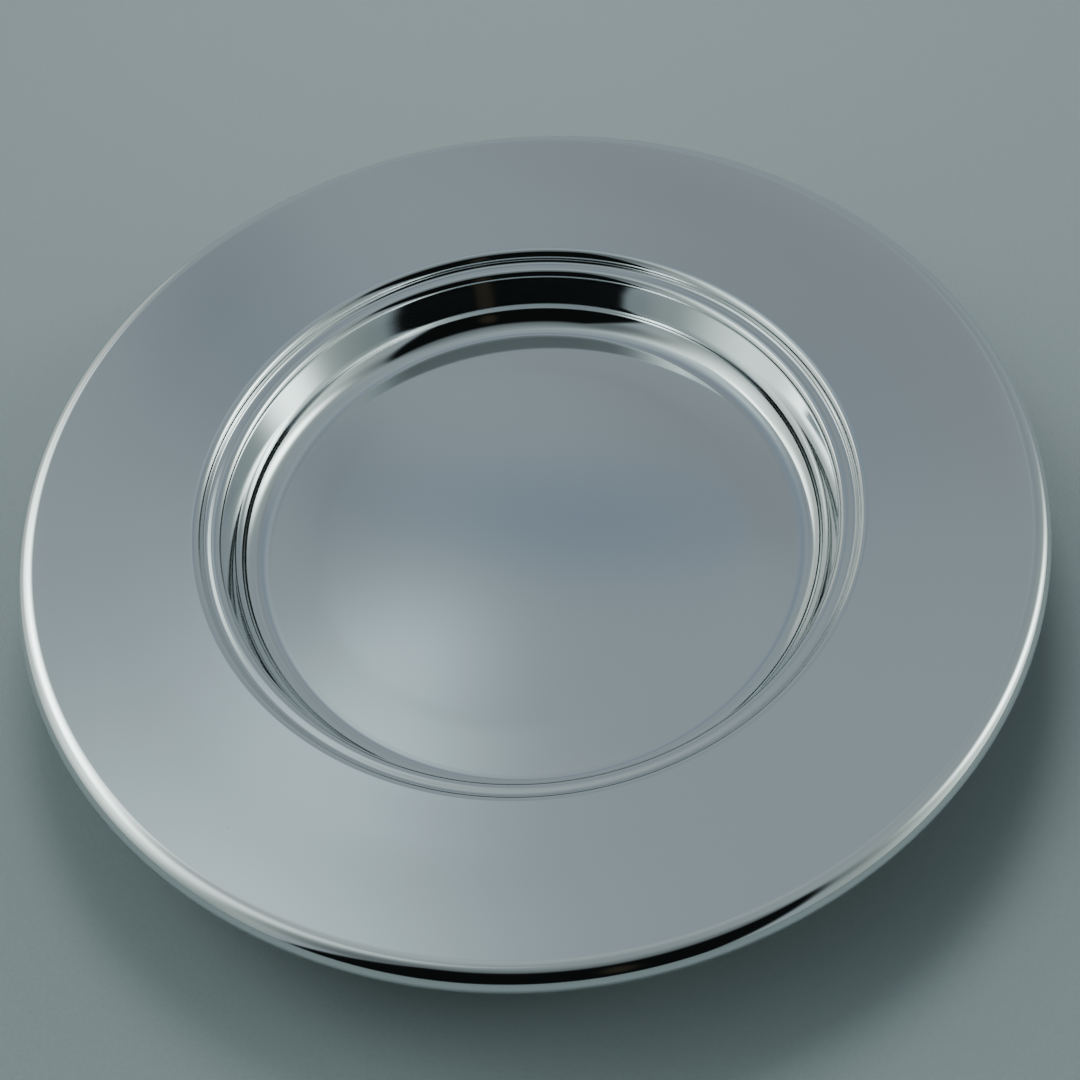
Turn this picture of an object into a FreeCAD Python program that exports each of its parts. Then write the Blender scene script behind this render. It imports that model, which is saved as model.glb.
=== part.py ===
import FreeCAD, Part
import math
import os
import Sketcher

# Church offering plate: one disc of thin polished sheet, spun to a wide sloping flange with a
# rolled edge, a stepped shoulder with a flat ledge, and a round well with a slightly dished
# floor, and a felt disc under it.
# Origin: centre of the resting face.  +Z is up.  Millimetres and degrees.

SIZES = {
    "sheet_thickness": 1.0,
    # rolled outer edge
    "rim_radius": 152.4,
    "roll_radius": 5.3,
    "roll_centre_height": 32.4,
    "roll_sweep": 275.0,
    # flange: an outer cone and an inner cone joined by a wide bend
    "flange_outer_slope": 10.85,
    "flange_inner_slope": 9.25,
    "flange_inner_radius": 106.0,
    "flange_bend_curve": 340.0,
    # shoulder and short step down to the ledge
    "shoulder_curve": 3.4,
    "step_angle": 75.5,
    "ledge_corner_curve": 1.4,
    "ledge_flat_radius": 97.7,
    "ledge_height": 25.3,
    "ledge_edge_curve": 3.1,
    # well: a steep wall and a wide cove down to the margin of the floor
    "wall_angle": 82.5,
    "cove_curve": 9.9,
    "cove_start_radius": 82.8,
    "cove_start_height": 4.6,
    # floor: nearly level margin, then a shallow dish, lowest at the middle
    "margin_slope": 0.5,
    "margin_bend_curve": 150.0,
    "dish_slope": 3.0,
    "dish_curve": 1165.0,
    "centre_flat_radius": 0.5,
    "floor_height": 2.5,
    # felt under the dish, glued on
    "felt_radius": 45.0,
    "felt_depth": 3.2,
    "glue_thickness": 0.05,
}

FIRST, LAST, CENTRE = 1, 2, 3
AXIS_LINE = -2
ORIGIN_POINT = (-1, 1)
UPRIGHT = FreeCAD.Rotation(FreeCAD.Vector(1, 0, 0), 90)

doc = FreeCAD.newDocument("offering_plate")
sheet = doc.addObject("Spreadsheet::Sheet", "sizes")


def fill_sheet():
    """One row per driving dimension: its name in column A, its value in column B."""
    for row, (alias, value) in enumerate(SIZES.items(), start=1):
        sheet.set(f"A{row}", alias)
        sheet.set(f"B{row}", str(value))
        sheet.setAlias(f"B{row}", alias)
    doc.recompute()


def size(alias):
    return float(sheet.get(alias))


def slope(alias):
    return math.tan(math.radians(size(alias)))


def setback(curve, turn):
    """Length of straight that a bend of this radius takes up on each side of its corner."""
    return curve * math.tan(math.radians(turn) / 2)


def vector(radius, height):
    return FreeCAD.Vector(radius, height, 0)


def dish_start():
    """Edge of the tiny flat at the middle of the floor."""
    return vector(size("centre_flat_radius"), size("floor_height"))


def dish_centre():
    return dish_start() + vector(0, size("dish_curve"))


def dish_edge():
    """Where the dish passes into the straight slope around it."""
    tilt = math.radians(size("dish_slope"))
    return dish_centre() + vector(math.sin(tilt), -math.cos(tilt)) * size("dish_curve")


def crossing(first, first_slope, second, second_slope):
    """Where two sloping lines meet, each given by a point and its rise per millimetre."""
    lift = second.y - first.y - second_slope * (second.x - first.x)
    run = lift / (first_slope - second_slope)
    return first + vector(run, run * first_slope)


def sheet_corners():
    """Sharp corners of the upper side outside the dish, and the bend that rounds each one."""
    ledge = size("ledge_height")
    cove_start = vector(size("cove_start_radius"), size("cove_start_height"))
    margin_corner = crossing(dish_edge(), slope("dish_slope"), cove_start, slope("margin_slope"))
    cove_run = setback(size("cove_curve"), size("wall_angle") - size("margin_slope"))
    wall_foot = cove_start + (cove_start - margin_corner).normalize() * cove_run
    wall_top = crossing(wall_foot, slope("wall_angle"), vector(0, ledge), 0)
    step_run = setback(size("ledge_corner_curve"), size("step_angle"))
    step_foot = vector(size("ledge_flat_radius") + step_run, ledge)
    flange_corner = flange_bend_corner()
    step_top = crossing(step_foot, slope("step_angle"), flange_corner, slope("flange_inner_slope"))
    return [
        (dish_edge(), None),
        (margin_corner, "margin_bend_curve"),
        (wall_foot, "cove_curve"),
        (wall_top, "ledge_edge_curve"),
        (step_foot, "ledge_corner_curve"),
        (step_top, "shoulder_curve"),
        (flange_corner, "flange_bend_curve"),
        (flange_edge(), None),
    ]


def flange_bend_corner():
    """Sharp corner between the inner and the outer cone."""
    turn = size("flange_outer_slope") - size("flange_inner_slope")
    radius = size("flange_inner_radius") + setback(size("flange_bend_curve"), turn)
    edge = flange_edge()
    return vector(radius, edge.y - (edge.x - radius) * slope("flange_outer_slope"))


def flange_edge():
    """Where the outer cone touches the roll."""
    tilt = math.radians(size("flange_outer_slope"))
    roll = size("roll_radius")
    return roll_centre() + vector(-math.sin(tilt), math.cos(tilt)) * roll


def roll_centre():
    return vector(size("rim_radius") - size("roll_radius"), size("roll_centre_height"))


class Outline:
    """A chain of straights and bends in a sketch, each one tangent to the one before it."""

    def __init__(self, sketch):
        self.sketch = sketch
        self.pieces = []

    def straight(self, start, end):
        index = self.sketch.addGeometry(Part.LineSegment(start, end))
        self.join(index, FIRST, LAST)

    def bend(self, centre, start, end):
        anticlockwise = (start - centre).cross(end - centre).z > 0
        self.arc(centre, start, end, anticlockwise)

    def arc(self, centre, start, end, anticlockwise):
        first, last = (start, end) if anticlockwise else (end, start)
        circle = Part.Circle(centre, FreeCAD.Vector(0, 0, 1), (start - centre).Length)
        begin = circle.parameter(first)
        finish = circle.parameter(last)
        if finish < begin:
            finish += 2 * math.pi
        index = self.sketch.addGeometry(Part.ArcOfCircle(circle, begin, finish))
        ends = (FIRST, LAST) if anticlockwise else (LAST, FIRST)
        self.join(index, *ends)

    def join(self, index, entry, leave):
        if self.pieces:
            before, _, before_leave = self.pieces[-1]
            self.rule("Tangent", before, before_leave, index, entry)
        self.pieces.append((index, entry, leave))

    def rule(self, kind, *where):
        return self.sketch.addConstraint(Sketcher.Constraint(kind, *where))

    def dimension(self, alias, kind, *where, formula=None, name=None):
        """A dimension that follows a cell of the sheet, or a formula of cells."""
        name = name or alias
        number = self.sketch.addConstraint(Sketcher.Constraint(kind, *where))
        self.sketch.renameConstraint(number, name)
        self.sketch.setExpression(f"Constraints.{name}", formula or f"sizes.{alias}")


def rounded(before, corner, after, radius):
    """Centre, start and end of the bend that rounds a corner between two straights."""
    back = (before - corner).normalize()
    ahead = (after - corner).normalize()
    half = back.getAngle(ahead) / 2
    start = corner + back * (radius / math.tan(half))
    end = corner + ahead * (radius / math.tan(half))
    centre = corner + (back + ahead).normalize() * (radius / math.sin(half))
    return centre, start, end


def draw_sheet(outline):
    """Dish, margin, cove, wall, ledge, step, shoulder and flange, then the roll."""
    corners = sheet_corners()
    here = corners[0][0]
    outline.straight(vector(0, size("floor_height")), dish_start())
    outline.arc(dish_centre(), dish_start(), here, True)
    for (before, _), (corner, curve), (after, _) in zip(corners, corners[1:], corners[2:]):
        centre, start, end = rounded(before, corner, after, size(curve))
        outline.straight(here, start)
        outline.bend(centre, start, end)
        here = end
    edge = corners[-1][0]
    outline.straight(here, edge)
    turned = FreeCAD.Rotation(FreeCAD.Vector(0, 0, 1), -size("roll_sweep"))
    roll_end = roll_centre() + turned.multVec(edge - roll_centre())
    outline.arc(roll_centre(), edge, roll_end, False)


def fix_sheet(outline):
    """Every dimension of the outline, bound to the sheet."""
    (middle, dish, dish_side, margin_bend, margin, cove, wall, ledge_edge, ledge,
     ledge_corner, step, shoulder, inner, flange_bend, outer, roll) = [p[0] for p in outline.pieces]
    outline.rule("PointOnObject", middle, FIRST, AXIS_LINE)
    outline.rule("Horizontal", middle)
    outline.rule("Horizontal", ledge)

    for curve, alias in (
        (dish, "dish_curve"),
        (margin_bend, "margin_bend_curve"),
        (cove, "cove_curve"),
        (ledge_edge, "ledge_edge_curve"),
        (ledge_corner, "ledge_corner_curve"),
        (shoulder, "shoulder_curve"),
        (flange_bend, "flange_bend_curve"),
        (roll, "roll_radius"),
    ):
        outline.dimension(alias, "Radius", curve, size(alias))

    for line, alias in (
        (dish_side, "dish_slope"),
        (margin, "margin_slope"),
        (wall, "wall_angle"),
        (step, "step_angle"),
        (inner, "flange_inner_slope"),
        (outer, "flange_outer_slope"),
        (roll, "roll_sweep"),
    ):
        outline.dimension(alias, "Angle", line, math.radians(size(alias)))

    for line, alias in (
        (middle, "centre_flat_radius"),
        (margin, "cove_start_radius"),
        (ledge, "ledge_flat_radius"),
        (inner, "flange_inner_radius"),
    ):
        outline.dimension(alias, "DistanceX", *ORIGIN_POINT, line, LAST, size(alias))

    for piece, end, alias in (
        (middle, FIRST, "floor_height"),
        (margin, LAST, "cove_start_height"),
        (ledge, FIRST, "ledge_height"),
        (roll, CENTRE, "roll_centre_height"),
    ):
        outline.dimension(alias, "DistanceY", *ORIGIN_POINT, piece, end, size(alias))
    outline.dimension("rim_radius", "DistanceX", *ORIGIN_POINT, roll, CENTRE, roll_centre().x,
                      name="roll_centre_radius", formula="sizes.rim_radius - sizes.roll_radius")


def build_plate_shell():
    """The upper side turned about the axis, then given the sheet's thickness below it."""
    sketch = doc.addObject("Sketcher::SketchObject", "sheet_outline")
    sketch.Placement = FreeCAD.Placement(FreeCAD.Vector(0, 0, 0), UPRIGHT)
    outline = Outline(sketch)
    draw_sheet(outline)
    fix_sheet(outline)
    doc.recompute()
    if sketch.solve() != 0:
        raise RuntimeError("the sheet outline does not solve")
    skin = doc.addObject("Part::Revolution", "upper_side")
    skin.Source = sketch
    skin.Axis = FreeCAD.Vector(0, 0, 1)
    skin.Base = FreeCAD.Vector(0, 0, 0)
    skin.Angle = 360
    skin.Solid = False
    shell = doc.addObject("Part::Offset", "plate_shell")
    shell.Source = skin
    shell.Fill = True
    shell.setExpression("Value", "sizes.sheet_thickness")
    shell.Label = "plate_shell"
    return shell


def build_base_felt():
    """Round felt pad glued under the dish: level below, hollowed above to fit the dish."""
    slab = doc.addObject("Part::Cylinder", "felt_slab")
    slab.setExpression("Radius", "sizes.felt_radius")
    slab.setExpression("Height", "sizes.felt_depth")
    ball = doc.addObject("Part::Sphere", "dish_underside")
    ball.setExpression("Radius", "sizes.dish_curve + sizes.sheet_thickness + sizes.glue_thickness")
    ball.setExpression("Placement.Base.z", "sizes.floor_height + sizes.dish_curve")
    felt = doc.addObject("Part::Cut", "base_felt")
    felt.Base = slab
    felt.Tool = ball
    felt.Label = "base_felt"
    return felt


def check(parts):
    for item in doc.Objects:
        if "Invalid" in item.State or "Error" in item.State:
            raise RuntimeError(f"{item.Name} did not recompute: {item.State}")
    for piece in parts:
        if piece.Shape.isNull() or not piece.Shape.isValid():
            raise RuntimeError(f"{piece.Label} has no valid shape")


fill_sheet()
parts = [build_plate_shell(), build_base_felt()]
doc.recompute()
check(parts)
os.makedirs("parts", exist_ok=True)
for piece in parts:
    piece.Shape.exportStep(f"parts/{piece.Label}.step")
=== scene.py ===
import math

import bpy
from mathutils import Matrix, Vector, noise


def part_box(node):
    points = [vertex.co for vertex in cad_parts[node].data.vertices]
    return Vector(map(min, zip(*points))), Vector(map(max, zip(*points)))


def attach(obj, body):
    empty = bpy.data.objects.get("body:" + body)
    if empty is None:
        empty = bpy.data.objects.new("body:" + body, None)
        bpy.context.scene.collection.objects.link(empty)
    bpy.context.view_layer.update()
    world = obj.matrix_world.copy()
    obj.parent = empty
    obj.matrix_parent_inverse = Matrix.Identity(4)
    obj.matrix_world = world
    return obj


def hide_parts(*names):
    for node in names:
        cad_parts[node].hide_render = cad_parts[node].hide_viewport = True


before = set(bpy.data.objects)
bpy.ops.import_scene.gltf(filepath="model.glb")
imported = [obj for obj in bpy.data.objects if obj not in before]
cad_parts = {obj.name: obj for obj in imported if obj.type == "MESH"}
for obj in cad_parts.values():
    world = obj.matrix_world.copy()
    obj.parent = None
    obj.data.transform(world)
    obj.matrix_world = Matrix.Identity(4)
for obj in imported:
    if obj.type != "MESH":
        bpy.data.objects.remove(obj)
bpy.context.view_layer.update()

# Offering plate: the spun sheet and the felt under it, at the CAD part's own sizes.
# Metres.  Named angles are in degrees; headings along the outline are in radians.
SHELL_LOW, SHELL_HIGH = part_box("plate_shell")
FELT_LOW, FELT_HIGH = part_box("base_felt")
MM = 0.001
TURN = 2 * math.pi

# ---- the sheet's outline --------------------------------------------------------------------------
SHEET = 1.0 * MM
RIM_RADIUS = SHELL_HIGH.x
ROLL_RADIUS = 5.3 * MM
ROLL_HEIGHT = SHELL_HIGH.z - ROLL_RADIUS
ROLL_SWEEP = 275.0
FLANGE_OUTER_SLOPE = 10.85
FLANGE_INNER_SLOPE = 9.25
FLANGE_INNER_RADIUS = 106.0 * MM
FLANGE_BEND = 340.0 * MM
SHOULDER_CURVE = 3.4 * MM
STEP_ANGLE = 75.5
LEDGE_CORNER = 1.4 * MM
LEDGE_FLAT_RADIUS = 97.7 * MM
LEDGE_HEIGHT = 25.3 * MM
LEDGE_EDGE = 3.1 * MM
WALL_ANGLE = 82.5
COVE = 9.9 * MM
COVE_START = (82.8 * MM, 4.6 * MM)
MARGIN_SLOPE = 0.5
MARGIN_BEND = 150.0 * MM
DISH_SLOPE = 3.0
DISH_CURVE = 1165.0 * MM
FLOOR_HEIGHT = SHELL_LOW.z + SHEET

# Fineness of the turned mesh: steps around the axis, then along each kind of stretch.
SEGMENTS = 384
STRAIGHT_PIECES = 8
BEND_PIECES = 18
DISH_PIECES = 24
ROLL_PIECES = 72
EDGE_PIECES = 8
SAME_POINT = 1e-7


def tan(degrees):
    return math.tan(math.radians(degrees))


def setback(curve, turn):
    """Length of straight that a bend takes up on each side of its corner."""
    return curve * tan(turn / 2)


def dish_edge():
    """Where the dish passes into the straight slope around it."""
    tilt = math.radians(DISH_SLOPE)
    return DISH_CURVE * math.sin(tilt), FLOOR_HEIGHT + DISH_CURVE * (1 - math.cos(tilt))


def crossing(first, first_slope, second, second_slope):
    """Where two sloping lines meet, each given by a point and its angle."""
    rise = tan(first_slope)
    lift = second[1] - first[1] - tan(second_slope) * (second[0] - first[0])
    run = lift / (rise - tan(second_slope))
    return first[0] + run, first[1] + run * rise


def outline_corners():
    """Sharp corners of the upper side outside the dish, each with its bend radius."""
    margin_corner = crossing(dish_edge(), DISH_SLOPE, COVE_START, MARGIN_SLOPE)
    cove_run = setback(COVE, WALL_ANGLE - MARGIN_SLOPE)
    wall_foot = moved(COVE_START, math.radians(MARGIN_SLOPE), cove_run)
    wall_top = crossing(wall_foot, WALL_ANGLE, (0, LEDGE_HEIGHT), 0)
    step_foot = (LEDGE_FLAT_RADIUS + setback(LEDGE_CORNER, STEP_ANGLE), LEDGE_HEIGHT)
    tilt = math.radians(FLANGE_OUTER_SLOPE)
    edge = moved((RIM_RADIUS - ROLL_RADIUS, ROLL_HEIGHT), tilt + math.pi / 2, ROLL_RADIUS)
    bend_radius = FLANGE_INNER_RADIUS + setback(FLANGE_BEND, FLANGE_OUTER_SLOPE - FLANGE_INNER_SLOPE)
    flange_corner = (bend_radius, edge[1] - (edge[0] - bend_radius) * tan(FLANGE_OUTER_SLOPE))
    step_top = crossing(step_foot, STEP_ANGLE, flange_corner, FLANGE_INNER_SLOPE)
    return [
        (dish_edge(), 0),
        (margin_corner, MARGIN_BEND),
        (wall_foot, COVE),
        (wall_top, LEDGE_EDGE),
        (step_foot, LEDGE_CORNER),
        (step_top, SHOULDER_CURVE),
        (flange_corner, FLANGE_BEND),
        (edge, 0),
    ]


def heading_of(start, end):
    return math.atan2(end[1] - start[1], end[0] - start[0])


def moved(point, heading, length):
    return (point[0] + length * math.cos(heading), point[1] + length * math.sin(heading))


def straight_samples(start, end):
    """Points along a straight, each with the straight's heading."""
    heading = heading_of(start, end)
    length = math.dist(start, end)
    steps = [length * i / STRAIGHT_PIECES for i in range(STRAIGHT_PIECES + 1)]
    return [(moved(start, heading, step), heading) for step in steps]


def bend_samples(start, heading, turn, curve, pieces):
    """Points and headings along a bend; a positive turn is to the left."""
    side = math.copysign(math.pi / 2, turn)
    centre = moved(start, heading + side, curve)
    headings = [heading + turn * i / pieces for i in range(pieces + 1)]
    return [(moved(centre, now - side, curve), now) for now in headings]


def outline():
    """Points of the upper side with the heading at each, from the axis to the end of the roll."""
    corners = outline_corners()
    samples = bend_samples((0, FLOOR_HEIGHT), 0, math.radians(DISH_SLOPE), DISH_CURVE, DISH_PIECES)
    here = corners[0][0]
    for (before, _), (corner, curve), (after, _) in zip(corners, corners[1:], corners[2:]):
        heading = heading_of(before, corner)
        turn = heading_of(corner, after) - heading
        start = moved(corner, heading, -curve * math.tan(abs(turn) / 2))
        samples += straight_samples(here, start)
        samples += bend_samples(start, heading, turn, curve, BEND_PIECES)
        here = samples[-1][0]
    edge = corners[-1][0]
    samples += straight_samples(here, edge)
    heading = math.radians(FLANGE_OUTER_SLOPE)
    samples += bend_samples(edge, heading, -math.radians(ROLL_SWEEP), ROLL_RADIUS, ROLL_PIECES)
    return without_repeats(samples)


def without_repeats(samples):
    kept = [samples[0]]
    for sample in samples[1:]:
        if math.dist(sample[0], kept[-1][0]) > SAME_POINT:
            kept.append(sample)
    return kept


# ---- meshes ---------------------------------------------------------------------------------------
def link(name, mesh):
    piece = bpy.data.objects.new(name, mesh)
    bpy.context.scene.collection.objects.link(piece)
    return piece


def ring_of(radius, height, normal):
    """One turn of points about the axis with their normals, or the single point on the axis."""
    if radius < SAME_POINT:
        return [(0, 0, height)], [(0, 0, math.copysign(1, normal[1]))]
    angles = [TURN * k / SEGMENTS for k in range(SEGMENTS)]
    points = [(radius * math.cos(a), radius * math.sin(a), height) for a in angles]
    normals = [(normal[0] * math.cos(a), normal[0] * math.sin(a), normal[1]) for a in angles]
    return points, normals


def faces_between(low, high):
    """Faces joining two rings, given as the numbers of their first point and their lengths."""
    faces = []
    for k in range(SEGMENTS):
        n = (k + 1) % SEGMENTS
        corners = [low[0] + k % low[1], high[0] + k % high[1], high[0] + n % high[1], low[0] + n % low[1]]
        faces.append(list(dict.fromkeys(corners)))
    return faces


def lathe(name, section, materials):
    """Turns a section, given as (radius, height, normal, material number), about the axis."""
    points, normals, faces, slots = [], [], [], []
    rings = []
    for radius, height, normal, slot in section:
        ring, ring_normals = ring_of(radius, height, normal)
        rings.append((len(points), len(ring), slot))
        points += ring
        normals += ring_normals
    for low, high in zip(rings, rings[1:]):
        strip = faces_between(low, high)
        faces += strip
        slots += [high[2]] * len(strip)
    mesh = bpy.data.meshes.new(name)
    mesh.from_pydata(points, [], faces)
    mesh.update()
    mesh.shade_smooth()
    mesh.normals_split_custom_set_from_vertices(normals)
    for material in materials:
        mesh.materials.append(material)
    mesh.polygons.foreach_set("material_index", slots)
    return link(name, mesh)


def sheet_section():
    """The sheet's upper side, its rounded free edge, and its lower side back to the axis."""
    polished, spun = 0, 1
    upper = outline()
    section = []
    for (radius, height), heading in upper:
        section.append((radius, height, (-math.sin(heading), math.cos(heading)), polished))
    end, heading = upper[-1]
    middle = moved(end, heading - math.pi / 2, SHEET / 2)
    for i in range(1, EDGE_PIECES):
        facing = heading + math.pi / 2 - math.pi * i / EDGE_PIECES
        radius, height = moved(middle, facing, SHEET / 2)
        section.append((radius, height, (math.cos(facing), math.sin(facing)), spun))
    for point, heading in reversed(upper):
        radius, height = moved(point, heading - math.pi / 2, SHEET)
        section.append((max(radius, 0), height, (math.sin(heading), -math.cos(heading)), spun))
    return section


# ---- node trees -----------------------------------------------------------------------------------
class Nodes:
    """Short calls for the nodes of one tree."""

    def __init__(self, tree):
        self.tree = tree

    def add(self, kind, **settings):
        node = self.tree.nodes.new("ShaderNode" + kind)
        for name, value in settings.items():
            setattr(node, name, value)
        return node

    def feed(self, socket, value):
        """Links an output to a socket, or sets the socket's own value."""
        if isinstance(value, bpy.types.NodeSocket):
            self.tree.links.new(value, socket)
        elif isinstance(value, tuple):
            socket.default_value = (*value, 1.0)[:len(socket.default_value)]
        else:
            socket.default_value = value

    def calc(self, operation, *values):
        node = self.add("Math", operation=operation)
        for socket, value in zip(node.inputs, values):
            self.feed(socket, value)
        return node.outputs[0]

    def smooth(self, value, low, high, start=0.0, end=1.0):
        """Rises (or falls) smoothly from start at low to end at high."""
        node = self.add("MapRange", interpolation_type="SMOOTHSTEP")
        settings = {"Value": value, "From Min": low, "From Max": high, "To Min": start, "To Max": end}
        for name, setting in settings.items():
            self.feed(node.inputs[name], setting)
        return node.outputs["Result"]

    def mix(self, first, second, share, blend="MIX"):
        """Mixes, adds or subtracts two colours; sockets 6 and 7 are the node's colour pair."""
        node = self.add("Mix", data_type="RGBA", blend_type=blend)
        self.feed(node.inputs[0], share)
        self.feed(node.inputs[6], first)
        self.feed(node.inputs[7], second)
        return node.outputs[2]

    def noise(self, vector, scale, detail=2.0, depth=None):
        node = self.add("TexNoise", noise_dimensions="3D" if depth is None else "4D")
        self.feed(node.inputs["Vector"], vector)
        self.feed(node.inputs["Scale"], scale)
        self.feed(node.inputs["Detail"], detail)
        if depth is not None:
            self.feed(node.inputs["W"], depth)
        return node.outputs["Fac"]

    def split(self, vector):
        node = self.add("SeparateXYZ")
        self.feed(node.inputs[0], vector)
        return node.outputs

    def patch(self, across, up, width, height, lean=0.0, power=2.0):
        """Soft oval about the zero of across and up; a higher power gives it a firmer edge."""
        c, s = math.cos(math.radians(lean)), math.sin(math.radians(lean))
        u = self.calc("MULTIPLY_ADD", across, c / width, self.calc("MULTIPLY", up, s / width))
        v = self.calc("MULTIPLY_ADD", across, -s / height, self.calc("MULTIPLY", up, c / height))
        size = self.calc("ADD", self.calc("MULTIPLY", u, u), self.calc("MULTIPLY", v, v))
        return self.calc("EXPONENT", self.calc("MULTIPLY", self.calc("POWER", size, power / 2), -1.0))

    def join(self, x, y, z):
        node = self.add("CombineXYZ")
        for socket, value in zip(node.inputs, (x, y, z)):
            self.feed(socket, value)
        return node.outputs[0]

    def bump(self, height, distance, normal=None):
        node = self.add("Bump")
        self.feed(node.inputs["Height"], height)
        self.feed(node.inputs["Distance"], distance)
        if normal is not None:
            self.feed(node.inputs["Normal"], normal)
        return node.outputs[0]


def new_material(name):
    material = bpy.data.materials.new(name)
    material.use_nodes = True
    surface = material.node_tree.nodes["Principled BSDF"]
    return material, Nodes(material.node_tree), surface


# ---- materials ------------------------------------------------------------------------------------
METAL = (0.80, 0.825, 0.83)
METAL_DUST = (0.42, 0.43, 0.43)
LINES_PER_METRE = 2600.0
LINE_DRIFT = 9.0
HAZE_PATCHES_PER_METRE = 22.0
LINE_HAZE = 0.6
WAVES_PER_METRE = 14.0
WAVE_HEIGHT = 0.02 * MM
DUST_CELLS_PER_METRE = 70.0
DUST_SIZE = 0.22 * MM
DUST_ROUGHNESS = 0.3
EMPTY_CELLS = 0.75
# roughness of the clean metal, extra roughness of the haze, and height of the tool lines
POLISHED_FINISH = (0.035, 0.035, 0.00015 * MM)
SPUN_FINISH = (0.16, 0.10, 0.0012 * MM)


def spin_lines(n, place):
    """Noise that changes quickly across the outline and slowly around it, like tool marks."""
    x, y, z = n.split(place)
    radius = n.calc("SQRT", n.calc("ADD", n.calc("MULTIPLY", x, x), n.calc("MULTIPLY", y, y)))
    across = n.calc("MULTIPLY", radius, LINES_PER_METRE)
    up = n.calc("MULTIPLY", z, LINES_PER_METRE)
    drift = n.calc("MULTIPLY", x, LINE_DRIFT)
    return n.noise(n.join(across, up, drift), 1.0, 3.0, depth=n.calc("MULTIPLY", y, LINE_DRIFT))


def specks(n, place, per_metre, size):
    """Scattered round spots of the given size, one in each cell that isn't left empty."""
    cells = n.add("TexVoronoi")
    n.feed(cells.inputs["Vector"], place)
    n.feed(cells.inputs["Scale"], per_metre)
    chosen = n.calc("GREATER_THAN", n.split(cells.outputs["Color"])[0], EMPTY_CELLS)
    reach = size * per_metre
    spot = n.smooth(cells.outputs["Distance"], reach * 0.5, reach, 1.0, 0.0)
    return n.calc("MULTIPLY", spot, chosen)


def metal(name, finish):
    """Spun sheet: a mirror with faint tool lines, hazy patches, slight waviness and dust."""
    roughness, haze, line_height = finish
    material, n, surface = new_material(name)
    place = n.add("TexCoord").outputs["Object"]
    lines = spin_lines(n, place)
    patches = n.noise(place, HAZE_PATCHES_PER_METRE, 3.0)
    dust = specks(n, place, DUST_CELLS_PER_METRE, DUST_SIZE)
    rough = n.calc("MULTIPLY_ADD", patches, haze, roughness)
    rough = n.calc("MULTIPLY_ADD", lines, haze * LINE_HAZE, rough)
    rough = n.calc("MULTIPLY_ADD", dust, DUST_ROUGHNESS, rough)
    waves = n.bump(n.noise(place, WAVES_PER_METRE, 1.0), WAVE_HEIGHT)
    n.feed(surface.inputs["Base Color"], n.mix(METAL, METAL_DUST, dust))
    n.feed(surface.inputs["Metallic"], 1.0)
    n.feed(surface.inputs["Roughness"], rough)
    n.feed(surface.inputs["Normal"], n.bump(lines, line_height, waves))
    return material


FELT_COLOUR = (0.016, 0.020, 0.028)
FELT_FIBRE = (0.060, 0.068, 0.085)
FELT_SHEEN = 0.4
FIBRES_PER_METRE = 900.0
FIBRE_HEIGHT = 0.5 * MM
CLUMPS_PER_METRE = 120.0
CLUMP_HEIGHT = 0.8 * MM
MATTE = 0.95


def felt():
    """Pressed felt: matted fibres of two tones with a soft, uneven surface."""
    material, n, surface = new_material("felt")
    place = n.add("TexCoord").outputs["Object"]
    matted = n.noise(place, FIBRES_PER_METRE, 6.0)
    clumps = n.noise(place, CLUMPS_PER_METRE, 3.0)
    fibre = n.smooth(matted, 0.45, 0.75)
    tone = n.calc("MULTIPLY", fibre, n.calc("ADD", clumps, 0.4))
    n.feed(surface.inputs["Base Color"], n.mix(FELT_COLOUR, FELT_FIBRE, tone))
    n.feed(surface.inputs["Roughness"], MATTE)
    n.feed(surface.inputs["Sheen Weight"], FELT_SHEEN)
    n.feed(surface.inputs["Normal"], n.bump(matted, FIBRE_HEIGHT, n.bump(clumps, CLUMP_HEIGHT)))
    return material


CLOTH = (0.220, 0.255, 0.265)
CLOTH_SHADE = (0.210, 0.243, 0.252)
CLOTH_ROUGHNESS = 0.9
THREADS_PER_METRE = 1500.0
THREAD_HEIGHT = 0.02 * MM
SLUBS_PER_METRE = 900.0
SLUB_HEIGHT = 0.03 * MM


def cloth():
    """Smooth pale table cloth: a fine plain weave with slightly uneven tone."""
    material, n, surface = new_material("cloth")
    place = n.add("TexCoord").outputs["Object"]
    x, y, _ = n.split(place)
    warp = n.calc("SINE", n.calc("MULTIPLY", x, THREADS_PER_METRE * TURN))
    weft = n.calc("SINE", n.calc("MULTIPLY", y, THREADS_PER_METRE * TURN))
    weave = n.calc("MULTIPLY", warp, weft)
    slub = n.noise(place, SLUBS_PER_METRE, 4.0)
    n.feed(surface.inputs["Base Color"], n.mix(CLOTH_SHADE, CLOTH, n.smooth(slub, 0.3, 0.7)))
    n.feed(surface.inputs["Roughness"], CLOTH_ROUGHNESS)
    n.feed(surface.inputs["Normal"], n.bump(slub, SLUB_HEIGHT, n.bump(weave, THREAD_HEIGHT)))
    return material


# ---- felt pad -------------------------------------------------------------------------------------
FELT_RINGS = 40
FELT_EDGE_ROUND = 0.5 * MM
FELT_FUZZ = 0.12 * MM
GLUE = 0.05 * MM
FUZZ_PER_METRE = 700.0


def under_dish(radius):
    """Height of the top of the felt, a glue line below the sheet."""
    outer = DISH_CURVE + SHEET + GLUE
    return FLOOR_HEIGHT + DISH_CURVE - math.sqrt(outer ** 2 - radius ** 2)


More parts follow.
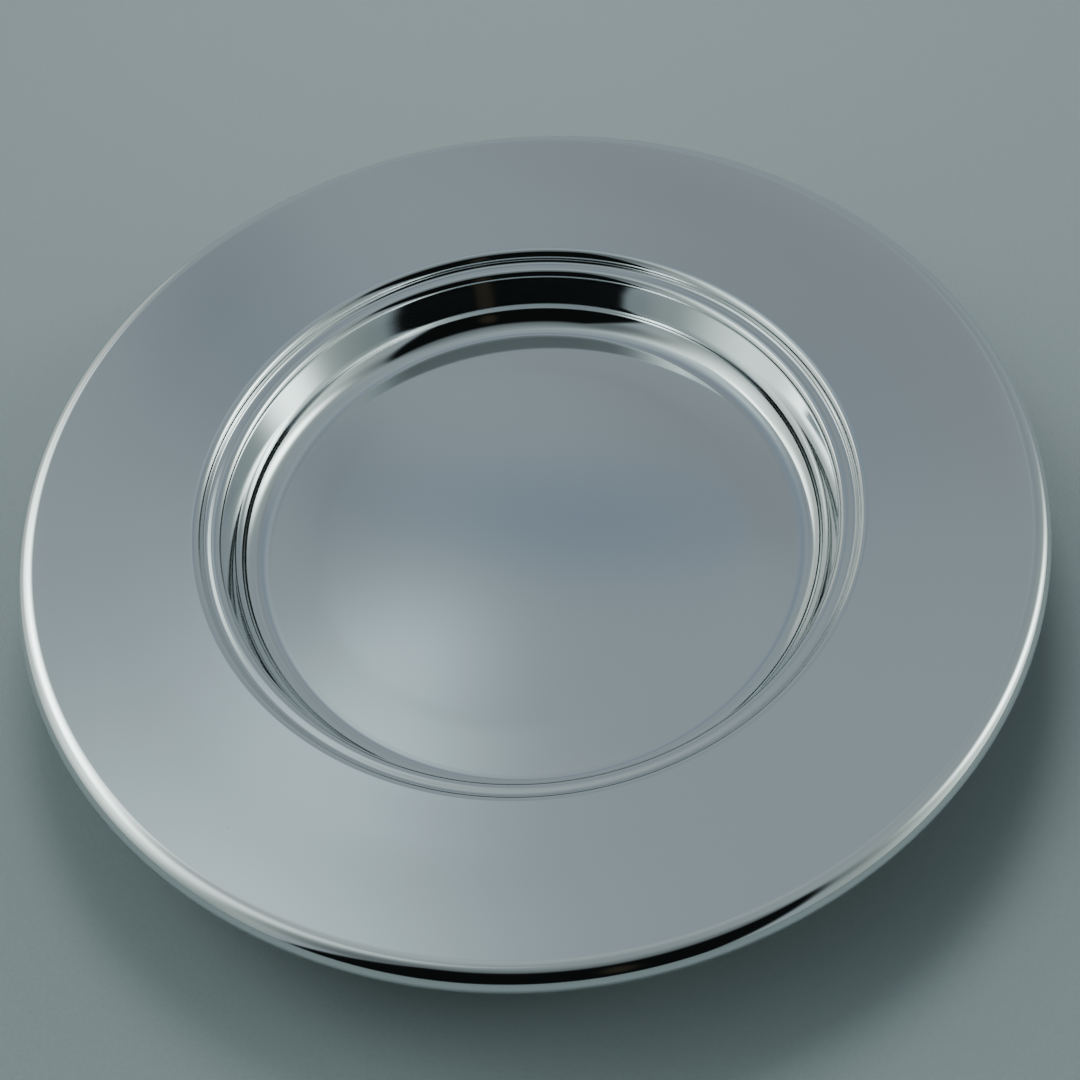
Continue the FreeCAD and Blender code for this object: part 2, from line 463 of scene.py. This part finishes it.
def felt_section():
    """Half the pad's outline, from the middle of its top to the middle of its underside."""
    radius = FELT_HIGH.x - FELT_FUZZ
    inner = radius - FELT_EDGE_ROUND
    low, high = FELT_LOW.z, under_dish(inner)
    steps = [inner * i / FELT_RINGS for i in range(FELT_RINGS + 1)]
    section = [(step, under_dish(step), (0, 1), 0) for step in steps]
    for i in range(1, EDGE_PIECES):
        facing = math.pi / 2 - math.pi * i / EDGE_PIECES
        out = inner + FELT_EDGE_ROUND * math.cos(facing)
        height = (low + high) / 2 + (high - low) / 2 * math.sin(facing)
        section.append((out, height, (math.cos(facing), math.sin(facing)), 0))
    return section + [(step, low, (0, -1), 0) for step in reversed(steps)]


def roughen(piece):
    """Gives the pad's edge and underside the small unevenness of cut felt."""
    for point in piece.data.vertices:
        fuzz = noise.noise(point.co * FUZZ_PER_METRE) * FELT_FUZZ
        outward = Vector((point.co.x, point.co.y, 0))
        if outward.length > FELT_HIGH.x - 2 * FELT_EDGE_ROUND:
            point.co += outward.normalized() * fuzz
        if point.co.z < FELT_FUZZ:
            point.co.z += abs(fuzz)


# ---- studio ---------------------------------------------------------------------------------------
# Linear colours of the tent's parts.
BACKDROP = (0.30, 0.34, 0.355)
BACK_WALL = (0.30, 0.36, 0.385)
BACK_WALL_SHADE = (0.245, 0.295, 0.325)
CEILING = (0.265, 0.325, 0.335)
CEILING_LIT = (0.44, 0.52, 0.53)
LEFT_WALL = (0.54, 0.61, 0.58)
LEFT_WALL_SHADE = (0.26, 0.32, 0.315)
RIGHT_WALL = (0.31, 0.38, 0.365)
RIGHT_WALL_LIT = (0.95, 1.15, 1.07)
LEFT_GLOW = (1.08, 1.30, 1.22)
LAMP = (3.9, 4.5, 4.35)
OPENING = (0.005, 0.006, 0.006)
OPENING_SHADE = (0.09, 0.105, 0.11)
WARM_GLOW = (0.020, 0.015, 0.009)

# Soft ovals: azimuth, elevation, width and height in degrees.
BACK_SHADES = ((142, 48, 20, 30), (176, 57, 16, 9))
CEILING_LIT_LEFT = (-145, 66, 55, 13)
CEILING_LIT_RIGHT = (95, 66, 50, 12)
RIGHT_WALL_LIT_SPOT = (82, 0, 26, 36)
LEFT_GLOW_SPOT = (-92, 42, 22, 30)
LEFT_LAMP_HIGH = (-130, 50, 30, 8)
LEFT_LAMP_LOW = (-130, 38, 17, 14)
RIGHT_LAMP = (91, 25, 20, 9)
WARM_STRIP = (5, 30, 3, 16)

# Edges: the angle at the middle of the edge, then how many degrees it is spread over.
CEILING_EDGE = (65, 18)
LEFT_WALL_REAR = (-156, 5)
LEFT_WALL_FRONT = (-56, 16)
LEFT_WALL_TOP = (60, 8)
LEFT_WALL_FADE = (-98, 73)
RIGHT_WALL_FRONT = (36, 14)
RIGHT_WALL_REAR = (112, 8)
RIGHT_WALL_TOP = (79, 26)
SHADE_LEFT = (-62, 30)
SHADE_RIGHT = (58, 30)
SHADE_TOP = (73, 26)
SHADE_FOOT = (35, 30)
OPENING_LEFT = (-49, 4)
OPENING_RIGHT = (21, 8)
OPENING_FOOT = (-2, 10)
OPENING_TOP = (60, 10)

# How far upright edges lean to the right, in degrees for each degree of elevation.
RIGHT_WALL_LEAN = 0.25
OPENING_LEFT_LEAN = 0.2
OPENING_RIGHT_LEAN = 0.57
# How far the right wall's top edge drops for each degree of azimuth.
RIGHT_WALL_DROOP = 0.35


class Sky:
    """The light tent's walls painted by direction: azimuth 0 is the front, plus is the right."""

    def __init__(self, tree):
        self.n = Nodes(tree)
        x, y, z = self.n.split(self.n.add("TexCoord").outputs["Generated"])
        front = self.n.calc("MULTIPLY", y, -1.0)
        self.azimuth = self.n.calc("DEGREES", self.n.calc("ARCTAN2", x, front))
        self.elevation = self.n.calc("DEGREES", self.n.calc("ARCSINE", z))
        self.colour = BACK_WALL

    def above(self, value, edge):
        middle, soft = edge
        return self.n.smooth(value, middle - soft / 2, middle + soft / 2)

    def below(self, value, edge):
        middle, soft = edge
        return self.n.smooth(value, middle - soft / 2, middle + soft / 2, 1.0, 0.0)

    def slanted(self, lean):
        """Azimuth with edges that lean to the right as they rise."""
        return self.n.calc("MULTIPLY_ADD", self.elevation, -lean, self.azimuth)

    def both(self, *shares):
        result = shares[0]
        for share in shares[1:]:
            result = self.n.calc("MULTIPLY", result, share)
        return result

    def oval(self, place, tilt=0.0, power=2.0):
        azimuth, elevation, width, height = place
        across = self.n.calc("WRAP", self.n.calc("SUBTRACT", self.azimuth, azimuth), 180.0, -180.0)
        up = self.n.calc("SUBTRACT", self.elevation, elevation)
        return self.n.patch(across, up, width, height, tilt, power)

    def paint(self, colour, share, strength=1.0):
        if strength != 1.0:
            share = self.n.calc("MULTIPLY", share, strength)
        self.colour = self.n.mix(self.colour, colour, share)

    def light(self, colour, share):
        self.colour = self.n.mix(self.colour, colour, share, "ADD")


def paint_back(sky):
    for place in BACK_SHADES:
        sky.paint(BACK_WALL_SHADE, sky.oval(place))


def paint_ceiling(sky):
    sky.paint(CEILING, sky.above(sky.elevation, CEILING_EDGE))
    sky.paint(CEILING_LIT, sky.oval(CEILING_LIT_LEFT))
    sky.paint(CEILING_LIT, sky.oval(CEILING_LIT_RIGHT), strength=0.3)


def paint_walls(sky):
    left = sky.both(sky.above(sky.azimuth, LEFT_WALL_REAR), sky.below(sky.azimuth, LEFT_WALL_FRONT),
                    sky.below(sky.elevation, LEFT_WALL_TOP))
    sky.paint(LEFT_WALL, left)
    sky.paint(LEFT_WALL_SHADE, sky.both(left, sky.above(sky.azimuth, LEFT_WALL_FADE)))
    upright = sky.slanted(RIGHT_WALL_LEAN)
    drooping = sky.n.calc("MULTIPLY_ADD", sky.azimuth, RIGHT_WALL_DROOP, sky.elevation)
    right = sky.both(sky.above(upright, RIGHT_WALL_FRONT), sky.below(upright, RIGHT_WALL_REAR),
                     sky.below(drooping, RIGHT_WALL_TOP))
    sky.paint(RIGHT_WALL, right)
    sky.paint(RIGHT_WALL_LIT, sky.both(right, sky.oval(RIGHT_WALL_LIT_SPOT, power=3)))


def paint_opening(sky):
    """The dark front opening through which the plate is seen, shaded off above."""
    shade = sky.both(sky.above(sky.azimuth, SHADE_LEFT), sky.below(sky.azimuth, SHADE_RIGHT),
                     sky.below(sky.elevation, SHADE_TOP), sky.above(sky.elevation, SHADE_FOOT))
    sky.paint(OPENING_SHADE, shade, strength=0.8)
    left, right = sky.slanted(OPENING_LEFT_LEAN), sky.slanted(OPENING_RIGHT_LEAN)
    opening = sky.both(sky.above(left, OPENING_LEFT), sky.below(right, OPENING_RIGHT),
                       sky.above(sky.elevation, OPENING_FOOT), sky.below(sky.elevation, OPENING_TOP))
    sky.paint(OPENING, opening)
    sky.light(WARM_GLOW, sky.oval(WARM_STRIP, power=4))


def paint_lamps(sky):
    sky.light(LEFT_GLOW, sky.oval(LEFT_GLOW_SPOT))
    sky.light(LAMP, sky.oval(LEFT_LAMP_HIGH, tilt=-6, power=3))
    sky.light(LAMP, sky.n.calc("MULTIPLY", sky.oval(LEFT_LAMP_LOW, power=3), 0.6))
    sky.light(LAMP, sky.oval(RIGHT_LAMP, tilt=-38, power=2.4))


def light_studio():
    """Soft light from every side; looking past the floor, a plain backdrop."""
    world = bpy.data.worlds.new("studio")
    world.use_nodes = True
    sky = Sky(world.node_tree)
    for part in (paint_back, paint_ceiling, paint_walls, paint_lamps, paint_opening):
        part(sky)
    seen = sky.n.add("LightPath").outputs["Is Camera Ray"]
    sky.paint(BACKDROP, seen)
    background = world.node_tree.nodes["Background"]
    sky.n.feed(background.inputs["Color"], sky.colour)
    bpy.context.scene.world = world


# ---- card, lamp, floor and camera -----------------------------------------------------------------
# A pale card hangs behind and above the plate; its bright and dull patches show in the metal.
CARD_DISTANCE = 300 * MM
CARD_ELEVATION = 55.0
CARD_HALF_WIDTH = 175 * MM
CARD_HALF_HEIGHT = 145 * MM
CARD_SOFT_EDGE = 30 * MM
CARD_TONE = (0.297, 0.357, 0.390)
# Patches: place across and up, width, height (millimetres), lean (degrees), and change of tone.
BRIGHT_PATCHES = (
    (-104, 105, 67, 51, 3, (0.37, 0.49, 0.485)),
    (-58, 42, 36, 26, -13, (0.25, 0.33, 0.355)),
)
DULL_PATCHES = (
    (-90, -36, 37, 46, -28, (0.068, 0.078, 0.080)),
    (21, 1, 75, 21, 10, (0.075, 0.074, 0.046)),
    (100, -18, 135, 34, 36, (0.050, 0.070, 0.077)),
)


def edge_fade(n, place, reach):
    """Full in the middle of the card, nothing at its edge."""
    return n.smooth(n.calc("ABSOLUTE", place), reach - CARD_SOFT_EDGE, reach, 1.0, 0.0)


def card_material():
    """Glowing card whose edges fade into what lies behind it."""
    material = bpy.data.materials.new("light_card")
    material.use_nodes = True
    material.node_tree.nodes.clear()
    n = Nodes(material.node_tree)
    x, y, _ = n.split(n.add("TexCoord").outputs["Object"])
    colour = CARD_TONE
    for patches, blend in ((BRIGHT_PATCHES, "ADD"), (DULL_PATCHES, "SUBTRACT")):
        for across, up, width, height, lean, tone in patches:
            dx = n.calc("SUBTRACT", x, across * MM)
            dy = n.calc("SUBTRACT", y, up * MM)
            share = n.patch(dx, dy, width * MM, height * MM, lean)
            colour = n.mix(colour, tone, share, blend)
    solid = n.calc("MULTIPLY", edge_fade(n, x, CARD_HALF_WIDTH), edge_fade(n, y, CARD_HALF_HEIGHT))
    glow = n.add("Emission")
    n.feed(glow.inputs["Color"], colour)
    mixed = n.add("MixShader")
    n.feed(mixed.inputs[0], solid)
    n.feed(mixed.inputs[1], n.add("BsdfTransparent").outputs[0])
    n.feed(mixed.inputs[2], glow.outputs[0])
    n.feed(n.add("OutputMaterial").inputs["Surface"], mixed.outputs[0])
    return material


def rectangle(name, half_width, half_height):
    mesh = bpy.data.meshes.new(name)
    sides = ((-1, -1), (1, -1), (1, 1), (-1, 1))
    mesh.from_pydata([(x * half_width, y * half_height, 0) for x, y in sides], [], [(0, 1, 2, 3)])
    return link(name, mesh)


def facing_plate(distance, elevation, azimuth, side):
    """Matrix of a thing behind the plate whose +Z (side 1) or -Z (side -1) faces the plate."""
    c, s = math.cos(math.radians(elevation)), math.sin(math.radians(elevation))
    across = Vector((side, 0, 0))
    up = Vector((0, -s, c))
    turned = Matrix.Rotation(math.radians(azimuth), 4, "Z")
    axes = Matrix((across, up, across.cross(up))).transposed().to_4x4()
    return turned @ Matrix.Translation(Vector((0, c, s)) * distance) @ axes


def hang_card():
    """Only mirror reflections see the card: it neither shades nor lights the cloth."""
    card = rectangle("light_card", CARD_HALF_WIDTH, CARD_HALF_HEIGHT)
    card.data.materials.append(card_material())
    card.matrix_world = facing_plate(CARD_DISTANCE, CARD_ELEVATION, 0.0, side=1)
    card.visible_camera = False
    card.visible_diffuse = False
    card.visible_shadow = False


LAMP_DISTANCE = 0.9
LAMP_ELEVATION = 58.0
LAMP_AZIMUTH = -5.0
LAMP_SIZE = 0.30
LAMP_POWER = 4.6
LAMP_TINT = (0.97, 1.0, 1.0)


def hang_lamp():
    """Soft lamp behind the plate; only its light and shadows count, not its mirror image."""
    data = bpy.data.lights.new("soft_lamp", "AREA")
    data.size = LAMP_SIZE
    data.energy = LAMP_POWER
    data.color = LAMP_TINT
    lamp = link("soft_lamp", data)
    lamp.matrix_world = facing_plate(LAMP_DISTANCE, LAMP_ELEVATION, LAMP_AZIMUTH, side=-1)
    lamp.visible_glossy = False
    lamp.visible_camera = False


FLOOR_REACH = 12.0


def lay_floor():
    floor = rectangle("floor", FLOOR_REACH, FLOOR_REACH)
    floor.data.materials.append(cloth())


# The camera's place and aim are measured from the centre of the roll's circle.
RIM_CENTRE = Vector((0, 0, ROLL_HEIGHT))
CAMERA_PLACE = Vector((0, -252.2, 337.1)) * MM + RIM_CENTRE
CAMERA_AIM = Vector((2.3, -22.0, 0)) * MM + RIM_CENTRE
CAMERA_ROLL = -7.09
# Focal length over the picture's width.
FOCAL_SHARE = 1400 / 1080
NEAR_CLIP = 0.01


def set_camera():
    data = bpy.data.cameras.new("camera")
    data.lens = data.sensor_width * FOCAL_SHARE
    data.clip_start = NEAR_CLIP
    camera = link("camera", data)
    look = (CAMERA_AIM - CAMERA_PLACE).to_track_quat("-Z", "Y").to_matrix()
    roll = Matrix.Rotation(math.radians(CAMERA_ROLL), 3, "Z")
    camera.matrix_world = Matrix.Translation(CAMERA_PLACE) @ (look @ roll).to_4x4()
    bpy.context.scene.camera = camera


# ---- pieces ---------------------------------------------------------------------------------------
def make_plate():
    polished = metal("polished_metal", POLISHED_FINISH)
    spun = metal("spun_underside", SPUN_FINISH)
    plate = lathe("spun_plate", sheet_section(), [polished, spun])
    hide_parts("plate_shell")
    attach(plate, "root")


def make_felt():
    pad = lathe("felt_pad", felt_section(), [felt()])
    roughen(pad)
    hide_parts("base_felt")
    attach(pad, "root")


# ---- build ----------------------------------------------------------------------------------------
make_plate()
make_felt()
lay_floor()
light_studio()
hang_card()
hang_lamp()
set_camera()
